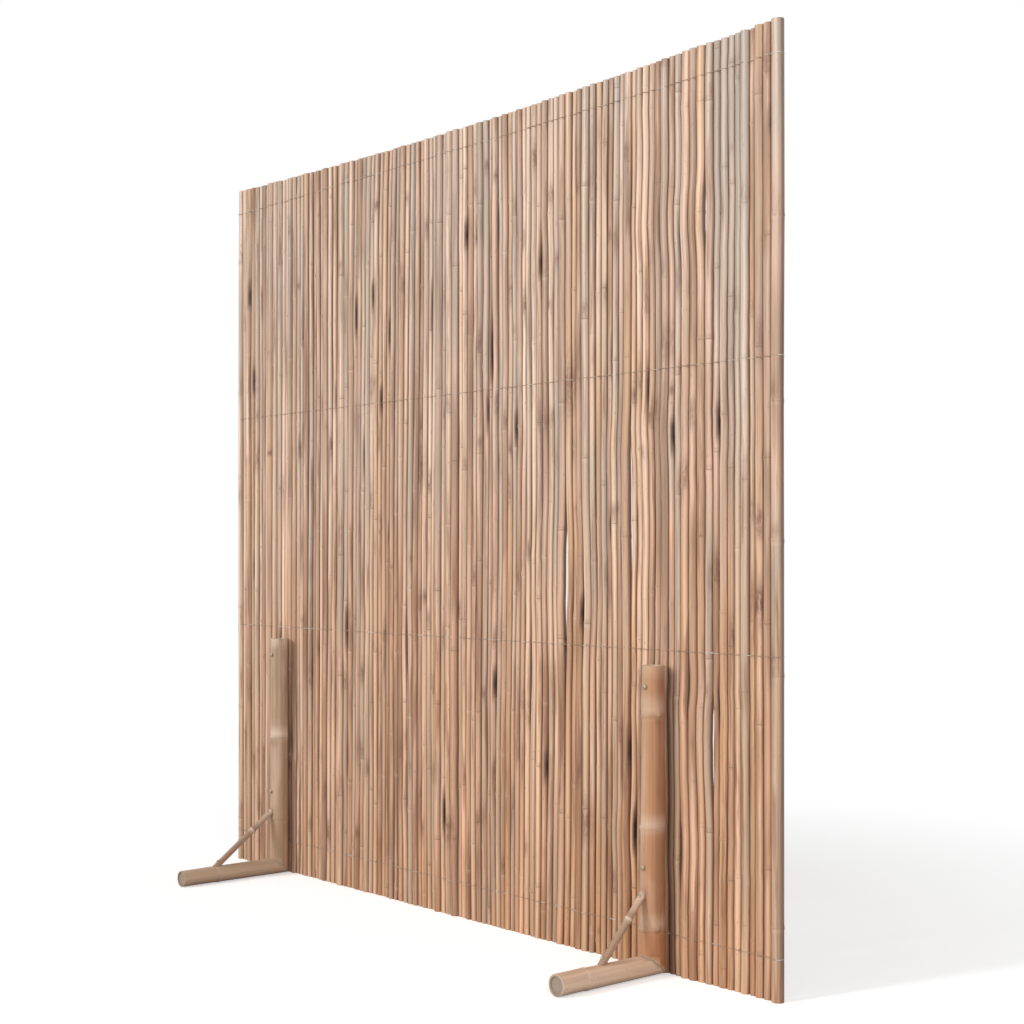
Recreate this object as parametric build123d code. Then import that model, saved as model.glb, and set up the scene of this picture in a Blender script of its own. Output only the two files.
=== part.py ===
from build123d import *
import math
import os
from random import Random

# Free-standing bamboo screen, in millimetres.
# X runs along the panel, left to right seen from the front. The front faces -Y, and Z is up from the floor.
# The origin is the middle of the footprint, on the floor and in the middle of the panel's thickness.

# Panel
panel_width = 1800.0
panel_height = 1700.0
top_sag = 16.0  # how far the sawn top edge dips in the middle
top_raggedness = 1.5  # how far a single cane's top may differ from that line

# Canes
cane_pitch = 17.15  # mean distance from one cane to the next
cane_gap = 0.5  # least gap between neighbours
cane_slack = 1.1  # mean gap between neighbours
cane_spread = 0.17  # share by which one cane is thicker or thinner than the mean
cane_stout_share = 0.16  # extra thickness at the right edge
cane_stout_width = 360.0  # how far from the right edge the canes are stouter
cane_taper = 1.6  # difference in diameter from butt to tip
cane_lean = 15.0  # how far the tops in the left half lean to the right
cane_wander = 5.0  # how far a stretch of neighbours bows to the side together
cane_wander_length = 1300.0  # from one such bow to the next along a cane
cane_wander_width = 700.0  # the same across the panel
cane_sway = 2.4  # how far one cane steps aside at a knee
cane_knees = 3
cane_sides = 8
settle_rounds = 200  # passes that push neighbours apart until they clear each other
canes_per_bundle = 4  # neighbours that are kept in one file, counted from each edge
cane_seed = 102

# Rows of binding wire and the half-split rails behind them
row_count = 4
bottom_row_height = 75.0
top_row_drop = 60.0  # from the panel's top to the highest row
wire_diameter = 1.2
wire_sides = 6
rail_width = 30.0
rail_depth = 14.0
rail_wall = 4.5
rail_inset = 45.0  # from the panel's edge to the rail's end

# Stands, one near each edge, with the same pieces in front of the panel and behind it
left_stand_cane = 14  # the cane that the left stand is nailed through, counted from the left edge
right_stand_cane = 16  # the same for the right stand, counted from the right edge
post_height = 570.0
post_base_diameter = 50.0
post_top_diameter = 43.0
post_bore = 26.0
post_bore_depth = 30.0
post_lift = 2.0  # from the floor to the toe of the post
left_foot_reach = 299.0  # from the middle of the panel to the foot's outer end
right_foot_reach = 272.0
foot_diameter = 43.0
foot_bore = 31.0
foot_bore_depth = 3.0
brace_diameter = 13.5
brace_post_height = 162.0  # where the brace's axis meets the post
left_brace_reach = 205.0  # where the brace's axis meets the top of the foot
right_brace_reach = 162.0
culm_bend = 0.8  # how far a pole steps out of the straight line at a node
node_swell = 1.0  # how far the ring at a node stands proud
node_length = 10.0
left_post_nodes = (133.0, 330.0)
right_post_nodes = (85.0, 272.0, 477.0)
rear_left_post_nodes = (190.0, 405.0)
rear_right_post_nodes = (150.0, 372.0)
foot_node = 205.0  # from the middle of the panel
brace_node_share = 0.66  # of the way from the foot to the post
pole_sides = 24
brace_sides = 12

# Nails
low_post_nail_height = 200.0
high_post_nail_drop = 39.0  # from the top of the post
post_nail_diameter = 4.0
post_nail_bite = 36.0  # how deep the point stands in the rear post
post_nail_proud = 3.0
post_nail_head = 9.0
brace_nail_diameter = 2.6
brace_nail_length = 34.0
brace_nail_head = 7.0
brace_nail_inset = 9.0  # from the end of the brace's axis
nail_head_thickness = 1.6
nail_sides = 6
nail_head_sides = 12

# Clearances
fit = 0.3  # between pieces that bear on each other
seat = 0.2  # between the canes and a rail
nail_fit = 0.12  # round a nail in its hole

FRONT, REAR = -1, 1
cane_span = panel_width - 2 * (wire_diameter + fit)
cane_count = round(cane_span / cane_pitch)


def row_heights():
    """Heights of the wire rows, evenly spaced from the lowest to the highest."""
    top = panel_height - top_row_drop
    step = (top - bottom_row_height) / (row_count - 1)
    return [bottom_row_height + step * row for row in range(row_count)]


def top_of_panel(share):
    """Height of the sawn top edge at a share of the panel's width."""
    return panel_height - top_sag * math.sin(math.pi * share)


def draw_canes():
    """The shape of each cane before it has its place: thickness, taper, and sideways steps by height."""
    canes = []
    for index in range(cane_count):
        rng = Random(cane_seed + index)
        share = (index + 0.5) / cane_count
        edge = index in (0, cane_count - 1)
        from_right = panel_width * (1 - share)
        stout = cane_stout_share * max(0, 1 - from_right / cane_stout_width)
        thickness = 1 + stout + (cane_spread if edge else rng.uniform(-cane_spread, cane_spread))
        top = top_of_panel(share) - (0 if edge else rng.uniform(0, top_raggedness))
        knees = 0 if edge else cane_knees
        heights = [0.0] + [top * (knee + rng.uniform(0.2, 0.8)) / knees for knee in range(knees)] + [top]
        lean = 0 if edge else cane_lean * math.sin(math.pi * share) * (1 - share)
        steps = []
        for height in heights:
            wave = 2 * math.pi * (height / cane_wander_length + share * panel_width / cane_wander_width)
            bow = cane_wander * math.sin(wave) * math.sin(math.pi * share) ** 2
            steps.append(0 if edge else lean * height / top + bow + rng.uniform(-cane_sway, cane_sway))
        taper = 0 if edge else rng.choice((-1, 1)) * cane_taper
        canes.append({"thickness": thickness, "heights": heights, "steps": steps, "taper": taper})
    return canes


def part_way(cane, height):
    """The stretch of a cane that holds a height, and the share of the way along it."""
    heights = cane["heights"]
    for low in range(len(heights) - 2):
        if height <= heights[low + 1]:
            return low, (height - heights[low]) / (heights[low + 1] - heights[low])
    return len(heights) - 2, min(1, (height - heights[-2]) / (heights[-1] - heights[-2]))


def place_at(cane, height):
    """X of a cane's axis at a height."""
    low, part = part_way(cane, height)
    return cane["x"][low] * (1 - part) + cane["x"][low + 1] * part


def radius_at(cane, height):
    """Radius of a cane, to its flats, at a height."""
    part = height / cane["heights"][-1] - 0.5
    return cane["radius"] - cane["taper"] / 2 * part


def push(cane, height, distance):
    """Shift a cane sideways at a height by moving the knees next to it."""
    low, part = part_way(cane, height)
    norm = (1 - part) ** 2 + part**2
    cane["x"][low] += distance * (1 - part) / norm
    cane["x"][low + 1] += distance * part / norm


def settle(canes):
    """Push neighbours apart until they clear each other, with the edge canes held."""
    for _ in range(settle_rounds):
        for index, (left, right) in enumerate(zip(canes, canes[1:])):
            for height in left["heights"] + right["heights"]:
                room = place_at(right, height) - place_at(left, height)
                short = radius_at(left, height) + radius_at(right, height) + cane_gap - room
                if short > 0:
                    left_share = 0 if index == 0 else 1 if index == cane_count - 2 else 0.5
                    push(left, height, -short * left_share)
                    push(right, height, short * (1 - left_share))


def lay_out_canes():
    """Choose the mean thickness that fills the span, and give each cane its place on X."""
    canes = draw_canes()
    total = sum(cane["thickness"] for cane in canes)
    mean_diameter = (cane_span - (cane_count - 1) * cane_slack) / total
    edge = -cane_span / 2
    for cane in canes:
        diameter = mean_diameter * cane["thickness"]
        cane["radius"] = diameter / 2
        cane["x"] = [edge + diameter / 2 + step for step in cane["steps"]]
        edge += diameter + cane_slack
    settle(canes)
    return canes


canes = lay_out_canes()
panel_depth = max(2 * cane["radius"] + cane_taper / 2 for cane in canes)
panel_back = panel_depth / 2


def ring(origin, direction, radius, sides):
    """A many-sided ring square to the direction, with flats at the radius and one of them square to X."""
    odd_half = sides // 2 + (1 - sides // 2 % 2)
    outline = Rot(0, 0, 90 - 180 / sides * odd_half) * RegularPolygon(radius, sides, major_radius=False)
    return Plane(origin=origin, x_dir=(1, 0, 0), z_dir=direction) * outline


def cane_solid(cane):
    """One cane: straight stretches that meet at its knees, with its back flush with the panel's."""
    rings = []
    for height, x in zip(cane["heights"], cane["x"]):
        radius = radius_at(cane, height)
        rings.append(ring((x, panel_back - radius, height), (0, 0, 1), radius, cane_sides))
    return loft(rings, ruled=True)


def with_nodes(ends, nodes):
    """Stations along a pole with a low swelling at each node: pairs of (station, extra radius)."""
    stations = [(ends[0], 0.0)]
    for node in nodes:
        stations.append((node - node_length / 2, 0.0))
        stations.append((node, node_swell))
        stations.append((node + node_length / 2, 0.0))
    stations.append((ends[1], 0.0))
    return stations


def post_radius(height):
    """Radius of a post at a height."""
    part = height / post_height
    return (post_base_diameter + part * (post_top_diameter - post_base_diameter)) / 2


def post_axis(side, height):
    """Y of a post's axis, which keeps the post's inner line upright against the canes."""
    return side * (panel_back + fit + post_radius(height))


def post_pole(stand_x, side, nodes, extra=0.0):
    """A post as a plain tapered pole."""
    rings = []
    for place, (height, swell) in enumerate(with_nodes((post_lift, post_height), nodes)):
        bend = culm_bend * math.sin(2.1 * place + 1)
        radius = post_radius(height) + swell
        axis = side * (panel_back + fit + radius)
        rings.append(ring((stand_x + bend, axis, height), (0, 0, 1), radius + extra, pole_sides))
    return loft(rings, ruled=True)


foot_axis_height = foot_diameter / 2 + node_swell


def foot_pole(stand_x, side, end_reach, extra=0.0):
    """A foot as a plain pole that lies on the floor from the canes outwards."""
    rings = []
    for place, (reach, swell) in enumerate(with_nodes((panel_back + fit, end_reach), (foot_node,))):
        bend = culm_bend * math.sin(1.7 * place)
        origin = (stand_x + bend, side * reach, foot_axis_height)
        rings.append(ring(origin, (0, side, 0), foot_diameter / 2 + swell + extra, pole_sides))
    return loft(rings, ruled=True)


def mitre_block(stand_x, side, above):
    """All that lies above or below the slanted cut where a post stands on its foot."""
    foot_top = foot_axis_height + foot_diameter / 2
    toe = (stand_x, side * (panel_back + fit), 0)
    upward = (0, -side * foot_top, 2 * post_radius(foot_top))
    size = 2 * foot_top + 2 * post_base_diameter
    middle = (size - fit) / 2 if above else (fit - size) / 2
    return Plane(origin=toe, x_dir=(1, 0, 0), z_dir=upward) * Pos(0, 0, middle) * Box(size, 2 * size, size)


def foot(stand_x, side, end_reach):
    """A foot: sawn on the slant under its post, with the shallow hollow that its last node closes."""
    end = (stand_x, side * end_reach, foot_axis_height)
    hollow = ring(end, (0, -side, 0), foot_bore / 2, pole_sides)
    solid = foot_pole(stand_x, side, end_reach) - extrude(hollow, foot_bore_depth)
    return solid - mitre_block(stand_x, side, True)


def rail_notch(stand_x, height):
    """The notch in a rear post that takes a rail and its wire."""
    depth = seat + rail_depth + 2 * fit + wire_diameter
    size = (2 * post_base_diameter, 2 * depth, rail_width + 2 * fit)
    return Pos(stand_x, panel_back, height) * Box(*size)


def wire_kerf(stand_x, height):
    """The saw kerf in a front post that lets a wire pass."""
    depth = fit + wire_diameter + fit
    size = (2 * post_base_diameter, 2 * depth, wire_diameter + 2 * fit)
    return Pos(stand_x, -panel_back, height) * Box(*size)


def post(stand_x, side, nodes):
    """A post: slanted cut at the foot, bore at the top, and room for each rail or wire that it crosses."""
    solid = post_pole(stand_x, side, nodes) - mitre_block(stand_x, side, False)
    for height in row_heights():
        if height - rail_width / 2 < post_height:
            solid -= rail_notch(stand_x, height) if side == REAR else wire_kerf(stand_x, height)
    mouth = ring((stand_x, post_axis(side, post_height), post_height), (0, 0, -1), post_bore / 2, pole_sides)
    return solid - extrude(mouth, post_bore_depth)


def brace_line(stand_x, side, reach):
    """Ends of a brace's axis: on the top of the foot, and on the face of the post."""
    low = Vector(stand_x, side * reach, foot_axis_height + foot_diameter / 2)
    face = panel_back + fit + 2 * post_radius(brace_post_height)
    return low, Vector(stand_x, side * face, brace_post_height)


def brace(stand_x, side, reach, nodes):
    """A thin cane that props the post, cut to the round of the foot and of the post."""
    low, high = brace_line(stand_x, side, reach)
    along_axis = (high - low).normalized()
    length = (high - low).length
    overrun = 2 * brace_diameter
    rings = []
    stations = with_nodes((-overrun, length + overrun), (brace_node_share * length,))
    for place, (station, swell) in enumerate(stations):
        origin = low + along_axis * station + Vector(culm_bend / 2 * math.sin(2.3 * place), 0, 0)
        rings.append(ring(origin, along_axis, brace_diameter / 2 + swell, brace_sides))
    solid = loft(rings, ruled=True) - foot_pole(stand_x, side, reach + overrun, fit)
    solid -= post_pole(stand_x, side, nodes, fit)
    return main_piece(solid)


def nail(head_seat, direction, length, diameter, head, grow=0.0):
    """A nail with its head's underside at the seat, driven along the direction."""
    shank = ring(head_seat, direction, diameter / 2 + grow, nail_sides)
    solid = extrude(shank, length)
    if grow:
        return solid
    cap = ring(head_seat, direction, head / 2, nail_head_sides)
    return solid + extrude(cap, -nail_head_thickness)


def post_nail_heights():
    """Heights of a post's nails: the upper one is below the post's top and below the second rail."""
    under_rail = row_heights()[1] - rail_width / 2 - post_nail_head
    return low_post_nail_height, min(post_height - high_post_nail_drop, under_rail)


def stand_place(cane):
    """X of the stand that is nailed through a cane."""
    middles = [place_at(cane, height) for height in post_nail_heights()]
    return sum(middles) / len(middles)


def post_nails(stand_x, grow=0.0):
    """The long nails that clamp the panel between the front and the rear post."""
    nails = []
    for height in post_nail_heights():
        head_y = -(panel_back + fit + 2 * post_radius(height) + post_nail_proud)
        length = panel_back + post_nail_bite - head_y
        seat_point = Vector(stand_x, head_y, height)
        nails.append(
            nail(seat_point, Vector(0, 1, 0), length, post_nail_diameter, post_nail_head, grow)
        )
    return nails


def brace_nails(stand_x, side, reach, grow=0.0):
    """The two nails that hold a brace, one into the foot and one into the post."""
    low, high = brace_line(stand_x, side, reach)
    along_axis = (high - low).normalized()
    outward = Vector(0, side * abs(along_axis.Z), abs(along_axis.Y))
    nails = []
    for point in (low + along_axis * brace_nail_inset, high - along_axis * brace_nail_inset):
        head_seat = point + outward * (brace_diameter / 2 + fit)
        nails.append(
            nail(
                head_seat,
                -outward,
                brace_nail_length,
                brace_nail_diameter,
                brace_nail_head,
                grow,
            )
        )
    return nails


def rail(height):
    """A half-split cane across the backs of the canes, hollow side to them."""
    outer_radius = (rail_width**2 / 4 + rail_depth**2) / (2 * rail_depth)
    sink = outer_radius - rail_depth
    across = Plane(origin=(0, panel_back + seat, height), x_dir=(0, 1, 0), z_dir=(1, 0, 0))
    outline = Circle(outer_radius) - Circle(outer_radius - rail_wall)
    half = Pos(-sink, 0) * outline & Pos(rail_depth, 0) * Rectangle(2 * rail_depth, 2 * rail_width)
    length = panel_width - 2 * rail_inset
    return extrude(across * half, length / 2, both=True)


def wire_corners(cane):
    """X and Y of a wire's corners round an edge cane and on to the rail's end, for the right edge."""
    reach = cane["radius"] + fit + wire_diameter / 2
    chamfer = reach * math.tan(math.pi / 8)
    middle = (cane_span / 2 - cane["radius"], panel_back - cane["radius"])
    outside = cane_span / 2 + fit + wire_diameter / 2
    front = -panel_back - fit - wire_diameter / 2
    rail_end = panel_width / 2 - rail_inset + rail_depth / 2
    return [
        (middle[0] + chamfer, front),
        (outside, middle[1] - chamfer),
        (outside, middle[1] + chamfer),
        (middle[0] + chamfer, middle[1] + reach),
        (rail_end, panel_back + seat + rail_depth + fit + wire_diameter / 2),
    ]


def binding_wire(height):
    """One loop of galvanised wire that holds the canes to a rail."""
    right = wire_corners(canes[-1])
    left = [(-x, y) for x, y in reversed(wire_corners(canes[0]))]
    corners = [Vector(x, y, height) for x, y in right + left]
    section = ring(corners[0], corners[1] - corners[0], wire_diameter / 2, wire_sides)
    return sweep(section, path=Polyline(*corners, close=True), transition=Transition.RIGHT)


def main_piece(shape):
    """The largest solid of a shape, without the offcuts."""
    return max(shape.solids(), key=lambda piece: piece.volume)


def save(name, solids):
    """Write one node."""
    export_step(Compound(label=name, children=list(solids)), f"parts/{name}.step")


def build():
    """Model every piece and write its node."""
    os.makedirs("parts", exist_ok=True)
    stands = {
        "left": (stand_place(canes[left_stand_cane - 1]), left_foot_reach, left_brace_reach),
        "right": (stand_place(canes[-right_stand_cane]), right_foot_reach, right_brace_reach),
    }
    nodes = {
        ("left", FRONT): left_post_nodes,
        ("right", FRONT): right_post_nodes,
        ("left", REAR): rear_left_post_nodes,
        ("right", REAR): rear_right_post_nodes,
    }
    long_nails, short_nails, long_holes = [], [], []
    for hand, (stand_x, end_reach, reach) in stands.items():
        holes = post_nails(stand_x, nail_fit)
        long_holes += holes
        long_nails += post_nails(stand_x)
        for side, face in ((FRONT, "front"), (REAR, "rear")):
            small_holes = brace_nails(stand_x, side, reach, nail_fit)
            short_nails += brace_nails(stand_x, side, reach)
            post_solid = post(stand_x, side, nodes[hand, side])
            foot_solid = foot(stand_x, side, end_reach)
            brace_solid = brace(stand_x, side, reach, nodes[hand, side])
            for hole in holes + small_holes:
                post_solid -= hole
            for hole in small_holes:
                foot_solid -= hole
                brace_solid -= hole
            save(f"{face}_post_{hand}", [main_piece(post_solid)])
            save(f"{face}_foot_{hand}", [main_piece(foot_solid)])
            save(f"{face}_brace_{hand}", [main_piece(brace_solid)])
    save("post_nails", long_nails)
    save("brace_nails", short_nails)
    for row, height in enumerate(row_heights(), start=1):
        save(f"rail_{row}", [rail(height)])
        save(f"binding_wire_{row}", [binding_wire(height)])
    halves = {"left": canes[: cane_count // 2], "right": canes[cane_count // 2 :][::-1]}
    for hand, row in halves.items():
        for first in range(0, len(row), canes_per_bundle):
            bundle = []
            for cane in row[first : first + canes_per_bundle]:
                solid = cane_solid(cane)
                for hole in long_holes:
                    if abs(hole.center().X - cane["x"][0]) < 2 * cane_pitch:
                        solid -= hole
                bundle += solid.solids()
            save(f"canes_{hand}_{first // canes_per_bundle + 1:02d}", bundle)


build()
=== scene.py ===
import math
from random import Random

import bmesh
import bpy
import numpy as np
from bpy.props import FloatProperty, FloatVectorProperty, IntProperty, PointerProperty
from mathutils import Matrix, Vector, noise


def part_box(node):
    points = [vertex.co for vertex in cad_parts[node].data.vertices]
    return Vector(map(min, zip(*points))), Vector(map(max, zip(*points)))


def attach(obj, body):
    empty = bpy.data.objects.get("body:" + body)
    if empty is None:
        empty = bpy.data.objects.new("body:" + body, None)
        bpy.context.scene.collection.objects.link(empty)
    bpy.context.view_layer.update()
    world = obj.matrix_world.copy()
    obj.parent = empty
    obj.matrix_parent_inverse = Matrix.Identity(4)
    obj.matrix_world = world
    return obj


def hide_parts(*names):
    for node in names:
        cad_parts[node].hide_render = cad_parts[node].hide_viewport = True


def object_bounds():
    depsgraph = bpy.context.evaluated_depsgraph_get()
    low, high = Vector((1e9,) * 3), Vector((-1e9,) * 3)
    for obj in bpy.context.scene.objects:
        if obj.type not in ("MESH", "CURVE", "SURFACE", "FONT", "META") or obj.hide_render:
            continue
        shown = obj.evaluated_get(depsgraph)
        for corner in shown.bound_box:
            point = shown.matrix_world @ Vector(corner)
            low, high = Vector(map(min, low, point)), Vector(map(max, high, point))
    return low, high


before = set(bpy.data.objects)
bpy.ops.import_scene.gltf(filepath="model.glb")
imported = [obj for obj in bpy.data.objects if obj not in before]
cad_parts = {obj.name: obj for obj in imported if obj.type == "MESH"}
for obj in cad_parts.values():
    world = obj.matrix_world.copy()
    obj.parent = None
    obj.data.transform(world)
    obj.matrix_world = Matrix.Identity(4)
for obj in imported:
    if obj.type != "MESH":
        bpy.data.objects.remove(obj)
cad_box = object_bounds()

bl_info = {
    "name": "Bamboo Screen",
    "version": (1, 0, 0),
    "blender": (4, 5, 0),
    "location": "3D View > Sidebar > Bamboo Screen",
    "description": "Round canes, poles, rails, wire and nails for a free-standing bamboo screen",
    "category": "Object",
}

MM = 0.001
BODY = "root"
MERGE = 1e-5
HANDS = ("left", "right")
FACES = {"front": -1, "rear": 1}
MASKS = ("variety", "warmth", "ring", "bloom", "scorch", "flank", "grey", "cut")

# Drawn thickness as a share of the framed one, at a pole's foot or inner end and at its other end
POST_SHARES = {"left": (0.88, 0.93), "right": (0.97, 0.95)}
FOOT_SHARES = {"left": (0.88, 0.84), "right": (0.88, 0.92)}

# Axes of an upright culm: across, back and ahead
UPRIGHT = (Vector((1, 0, 0)), Vector((0, 1, 0)), Vector((0, 0, 1)))

# Ridges of the nodes of the stands, and the distance between two rings of a pole, in metres
STAND_SWELLS = {"post": 1.15 * MM, "foot": 0.7 * MM, "brace": 1.2 * MM}
POLE_STEP = 0.02

# Distance from the right edge of the canes that have gone grey, in metres
GREY_STRETCH = (0.085, 0.155)

# How the canes settle against each other: heights and gaps in metres, and steps
LEVEL_STEP = 0.01
LEVEL_TOP = 1.71
LEAST_GAP = 0.15 * MM
LOOSE_GAP = 2.2 * MM
SETTLE_STEPS = 320
SMOOTH_STEPS = 280

# Colours of the marks on bamboo skin
PALE_PATCH = (0.76, 0.55, 0.43)
WEATHERED = (0.32, 0.17, 0.10)
DRIED = (0.52, 0.44, 0.38)
GREYED = (0.53, 0.47, 0.41)
WARMED = (1.0, 0.80, 0.62)
SPECK = (0.24, 0.13, 0.07)
BLOOM = (0.78, 0.62, 0.49)
SCORCH = (0.16, 0.062, 0.036)
NODE_RING = (0.16, 0.085, 0.045)
# Brown of the painted shade in grooves, gaps, hollows, beside posts and under feet, and of other darkening
SHADE_AND_DARKENING_BROWN = (0.12, 0.052, 0.028)
# Near black of the deepest painted shade, in the gaps between canes
DEEP_SHADE = (0.02, 0.010, 0.006)
SAWN_DARK = (0.42, 0.29, 0.17)
SAWN_PALE = (0.74, 0.62, 0.44)
DULL_ZINC = (0.32, 0.21, 0.14)
NAIL_STEEL = (0.46, 0.37, 0.28)

# Places of the lamps and the camera and what they point at, in metres
KEY_PLACE = (-1.0, -4.4, 2.8)
KEY_AIM = (0.0, 0.0, 0.8)
KEY_ANGLE = 9
FILL_PLACE = (4.6, -2.6, 2.4)
FILL_AIM = (0.0, 0.0, 0.7)
FILL_SIZE = 2.5
CAMERA_PLACE = (2.777, -2.198, 0.773)
CAMERA_GAZE = (-0.763, 0.645, 0.0)
CAMERA_RISE = 0.042
FLOOR_REACH = 30.0
FLOOR_FADE = (0.9, 2.0)

# Gaps between canes, with painted shade on the canes' sides that face them, open slits and stains, in
# millimetres: the place from the panel's left edge, the height, the length and the width
SHADED_GAPS = (
    (72, 1212, 70, 4), (52, 1425, 60, 4), (310, 1356, 60, 4), (310, 1063, 50, 3), (342, 506, 60, 4),
    (250, 328, 60, 4), (488, 603, 90, 5), (491, 299, 60, 4), (522, 1327, 90, 4), (591, 1367, 60, 4),
    (614, 1126, 60, 4), (649, 1275, 80, 4), (697, 1442, 60, 4), (723, 563, 90, 5), (861, 402, 60, 4),
    (855, 219, 80, 4), (934, 1453, 60, 4), (1015, 1195, 110, 6), (1038, 1459, 60, 4), (1023, 506, 60, 4),
    (1087, 1034, 60, 4), (1144, 534, 60, 5), (1181, 351, 60, 5), (1173, 1361, 60, 4), (1250, 603, 110, 6),
    (1287, 661, 60, 4), (1440, 253, 80, 5), (1537, 994, 60, 4), (1563, 230, 90, 6), (1583, 529, 70, 4),
    (1640, 405, 90, 6), (1649, 1011, 60, 4),
)
OPEN_SLITS = ((1250, 735, 230, 11), (1422, 865, 370, 8), (1626, 1390, 70, 8), (1632, 455, 60, 7))
SCORCHES = (
    (1307, 253, 90, 26), (1744, 689, 80, 30), (769, 971, 110, 26), (1526, 1166, 70, 24),
    (1259, 1109, 120, 30),
)


class CaneSettings(bpy.types.PropertyGroup):
    """Sizes and colours of the thin canes of the panel."""

    sides: IntProperty(name="Sides", description="Faces round a cane", default=18, min=8)
    ring_step: FloatProperty(
        name="Ring step", description="Length of a face between two nodes", default=0.022, unit="LENGTH"
    )
    node_spacing: FloatProperty(
        name="Node spacing", description="Mean distance between two nodes", default=0.33, unit="LENGTH"
    )
    node_swell: FloatProperty(
        name="Node swell", description="How far a node's ridge stands proud", default=0.0005, unit="LENGTH"
    )
    share: FloatProperty(
        name="Share", description="A round cane's radius as a share of its framed one's", default=0.985
    )
    bow: FloatProperty(
        name="Bow", description="How far a cane steps aside at a node", default=0.0016, unit="LENGTH"
    )
    wall: FloatProperty(name="Wall", description="Thickness of the culm wall", default=0.0026, unit="LENGTH")
    straw: FloatVectorProperty(
        name="Straw", description="Colour of a straw cane", subtype="COLOR", default=(0.62, 0.46, 0.33)
    )
    rosy: FloatVectorProperty(
        name="Rosy", description="Colour of a rosy cane", subtype="COLOR", default=(0.58, 0.37, 0.25)
    )
    seed: IntProperty(name="Seed", description="Draw of nodes, bows and tones", default=7)


class StandSettings(bpy.types.PropertyGroup):
    """Sizes of the poles of the two stands."""

    sides: IntProperty(name="Sides", description="Faces round a pole", default=56, min=16)
    post_bore: FloatProperty(
        name="Post bore", description="Width of the hollow in a post's top", default=0.026, unit="LENGTH"
    )
    foot_bore: FloatProperty(
        name="Foot bore", description="Width of the hollow in a foot's end", default=0.031, unit="LENGTH"
    )
    brace_radius: FloatProperty(
        name="Brace radius", description="Half the width of a brace", default=0.00675, unit="LENGTH"
    )
    brace_height: FloatProperty(
        name="Brace height",
        description="Where a framed brace's axis meets the post",
        default=0.162,
        unit="LENGTH",
    )
    brace_drop: FloatProperty(
        name="Brace drop", description="How much lower the brace is drawn", default=0.01, unit="LENGTH"
    )
    left_reach: FloatProperty(
        name="Left reach", description="Where the left braces meet their feet", default=0.205, unit="LENGTH"
    )
    right_reach: FloatProperty(
        name="Right reach",
        description="Where the right braces meet their feet",
        default=0.162,
        unit="LENGTH",
    )


class MetalSettings(bpy.types.PropertyGroup):
    """Sizes of the wire and the nails."""

    wire_radius: FloatProperty(
        name="Wire radius", description="Half the wire's thickness", default=0.0006, unit="LENGTH"
    )
    zinc: FloatVectorProperty(
        name="Zinc", description="Colour of the wire", subtype="COLOR", default=(0.72, 0.70, 0.66)
    )


class StageSettings(bpy.types.PropertyGroup):
    """The floor, the lamps and the camera."""

    floor_colour: FloatVectorProperty(
        name="Floor", description="Colour of the floor", subtype="COLOR", default=(0.86, 0.86, 0.86)
    )
    floor_glow: FloatProperty(
        name="Floor glow", description="How much the camera sees the floor brightened", default=0.42
    )
    key_strength: FloatProperty(name="Key lamp", description="Strength of the key lamp", default=1.65)
    fill_power: FloatProperty(
        name="Fill lamp", description="Power of the fill lamp", default=105.0, unit="POWER"
    )
    sky: FloatProperty(name="Sky", description="Strength of the light from all round", default=0.42)
    lens: FloatProperty(name="Lens", description="Focal length of the camera", default=58.18, unit="CAMERA")


class Draft:
    """Points, faces and surface masks of a piece while it is drawn."""

    def __init__(self):
        self.points = []
        self.grain = []
        self.faces = []
        self.masks = {name: [] for name in MASKS}

    def point(self, place, grain, **masks):
        self.points.append(tuple(place))
        self.grain.extend(grain)
        for name in MASKS:
            self.masks[name].append(masks.get(name, 0.0))
        return len(self.points) - 1

    def band(self, low, high):
        """Faces between two rings."""
        for side in range(len(low)):
            after = (side + 1) % len(low)
            self.faces.append((low[side], low[after], high[after], high[side]))

    def bar(self, rings):
        """Bands between rings, with a face at either end."""
        for low, high in zip(rings, rings[1:]):
            self.band(low, high)
        self.faces.append(tuple(reversed(rings[0])))
        self.faces.append(tuple(rings[-1]))

    def build(self, name, material):
        """The finished object, with its masks as attributes."""
        mesh = bpy.data.meshes.new(name)
        mesh.from_pydata(self.points, [], self.faces)
        for mask, values in self.masks.items():
            mesh.attributes.new(mask, "FLOAT", "POINT").data.foreach_set("value", values)
        mesh.attributes.new("grain", "FLOAT_VECTOR", "POINT").data.foreach_set("vector", self.grain)
        mesh.materials.append(material)
        mesh.shade_smooth()
        mesh.set_sharp_from_angle(angle=math.radians(48))
        mesh.update()
        piece = bpy.data.objects.new(name, mesh)
        bpy.context.scene.collection.objects.link(piece)
        return piece


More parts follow.
